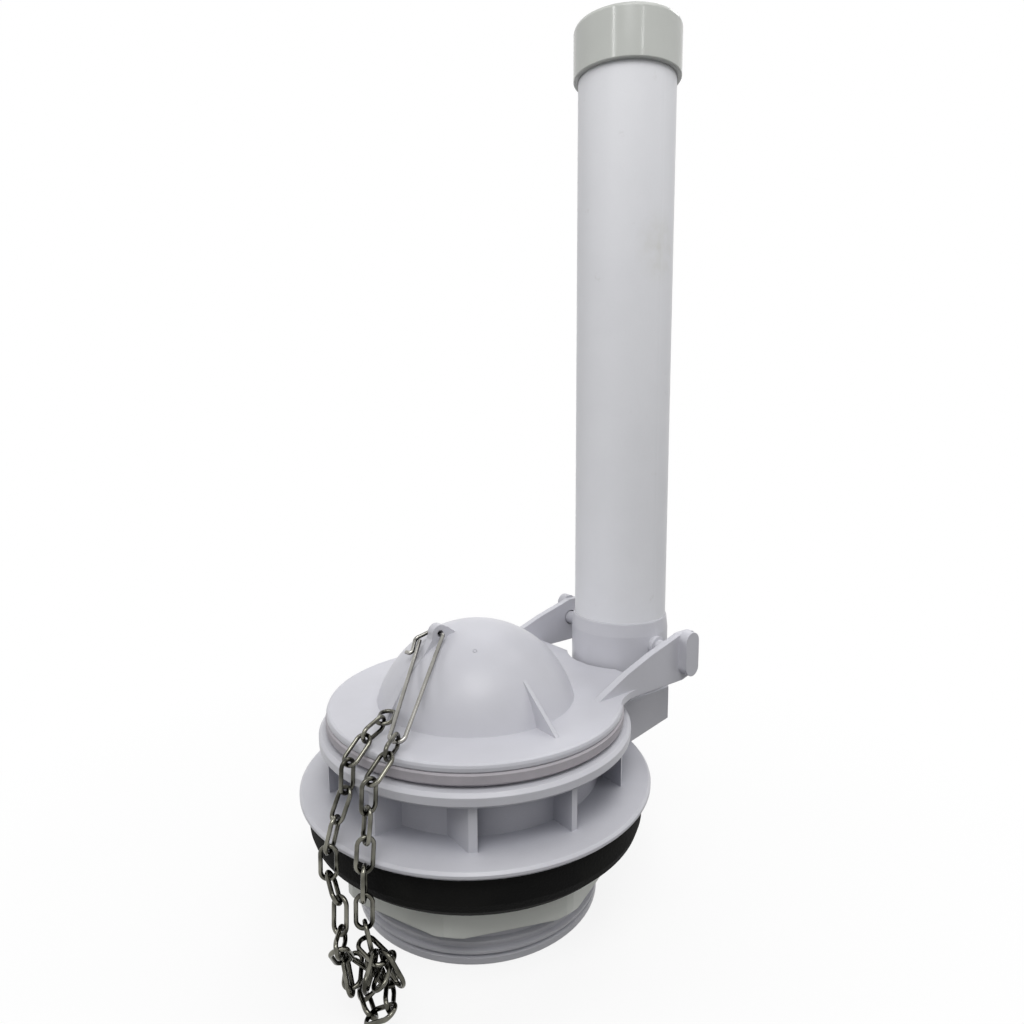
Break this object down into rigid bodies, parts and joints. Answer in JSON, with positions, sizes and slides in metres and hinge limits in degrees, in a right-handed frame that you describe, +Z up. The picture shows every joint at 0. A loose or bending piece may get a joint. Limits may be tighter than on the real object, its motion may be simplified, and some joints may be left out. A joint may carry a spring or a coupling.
{
  "type": "toilet flush valve",
  "caption": "Flush valve for a toilet tank: threaded outlet with flange, gasket and locknut, hinged domed flapper with seal ring, overflow tube with collar, and lift chain on a wire clip.",
  "frame": {"origin": "centre of the outlet at the lower end of the shank", "axes": "+Z up along the outlet, +Y towards the overflow tube, +X along the flapper's hinge"},
  "size_m": [0.1118, 0.1478, 0.282],
  "materials": {
    "body_plastic": "moulded, slightly bluish white, half gloss",
    "tube_plastic": "drawn tube, smooth, half gloss",
    "collar_plastic": "moulded, glossy, slightly green grey",
    "gasket_rubber": "soft sponge rubber, matt black",
    "nut_plastic": "moulded, warm white, matt",
    "flapper_plastic": "moulded, bluish white, half gloss",
    "seal_rubber": "soft moulded rubber, mauve grey",
    "clip_steel": "bright drawn wire",
    "chain_steel": "bright drawn wire, welded links"
  },
  "bodies": {
    "body": {"valve_body": "body_plastic", "overflow_tube": "tube_plastic", "tube_collar": "collar_plastic", "tank_gasket": "gasket_rubber"},
    "flapper_leaf": {"flapper": "flapper_plastic", "seal_ring": "seal_rubber", "chain_clip": "clip_steel", "link_a01": "chain_steel", "link_a02": "chain_steel", "link_a03": "chain_steel", "link_b01": "chain_steel", "link_b02": "chain_steel", "link_b03": "chain_steel", "link_b04": "chain_steel"},
    "hanging_chain": {"link_a04": "chain_steel", "link_a05": "chain_steel", "link_a06": "chain_steel", "link_a07": "chain_steel", "link_a08": "chain_steel", "link_a09": "chain_steel", "link_a10": "chain_steel", "link_a11": "chain_steel", "link_a12": "chain_steel", "link_b05": "chain_steel", "link_b06": "chain_steel", "link_b07": "chain_steel", "link_b08": "chain_steel", "link_b09": "chain_steel", "link_b10": "chain_steel", "link_b11": "chain_steel", "link_b12": "chain_steel", "link_b13": "chain_steel", "link_b14": "chain_steel", "link_join": "chain_steel"},
    "nut": {"locknut": "nut_plastic"}
  },
  "joints": [
    {"name": "flapper_hinge", "type": "hinge", "parent": "body", "child": "flapper_leaf", "pos_m": [0, 0.0655, 0.071], "axis": [-1, 0, 0], "range_deg": [0, 52]},
    {"name": "chain_swing", "type": "hinge", "parent": "flapper_leaf", "child": "hanging_chain", "pos_m": [0, -0.0513, 0.0556], "axis": [-1, 0, 0], "range_deg": [-52, 0]},
    {"name": "locknut_turn", "type": "hinge", "parent": "body", "child": "nut", "pos_m": [0, 0, 0.018], "axis": [0, 0, 1], "range_deg": [-180, 180]}
  ],
  "couplings": [
    {"joint": "chain_swing", "follows": "flapper_hinge", "ratio": -1}
  ]
}
